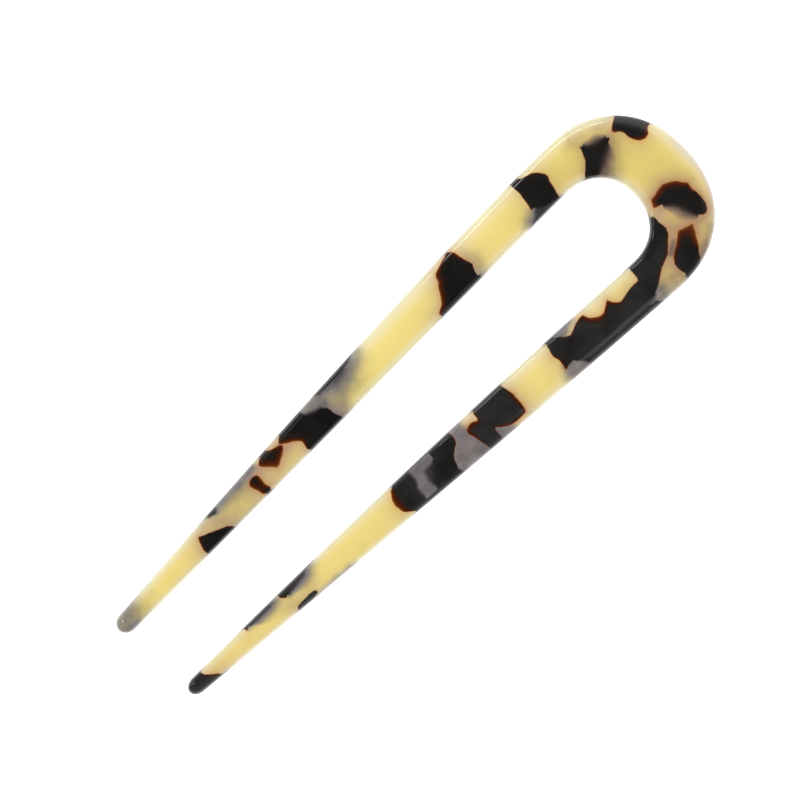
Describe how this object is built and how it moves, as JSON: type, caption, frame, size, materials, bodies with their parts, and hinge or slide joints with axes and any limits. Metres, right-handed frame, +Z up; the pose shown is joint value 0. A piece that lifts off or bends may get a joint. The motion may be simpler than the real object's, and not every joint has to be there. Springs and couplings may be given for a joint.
{
  "type": "french hair pin",
  "caption": "Flat U-shaped hair pin cut from polished sheet, with a broad round bow and slim tapering legs that are pushed through gathered hair to hold it.",
  "frame": {"origin": "middle of the surface that the pin lies on, under the centre of its bounding box", "axes": "+X along the pin towards the bow, +Y towards the left leg, +Z up out of the upper face"},
  "size_m": [0.15, 0.039, 0.004],
  "materials": {
    "acetate": "polished cellulose acetate, pale blonde with near-black tortoiseshell flakes"
  },
  "bodies": {
    "root": {"hair_pin": "acetate"}
  },
  "joints": []
}
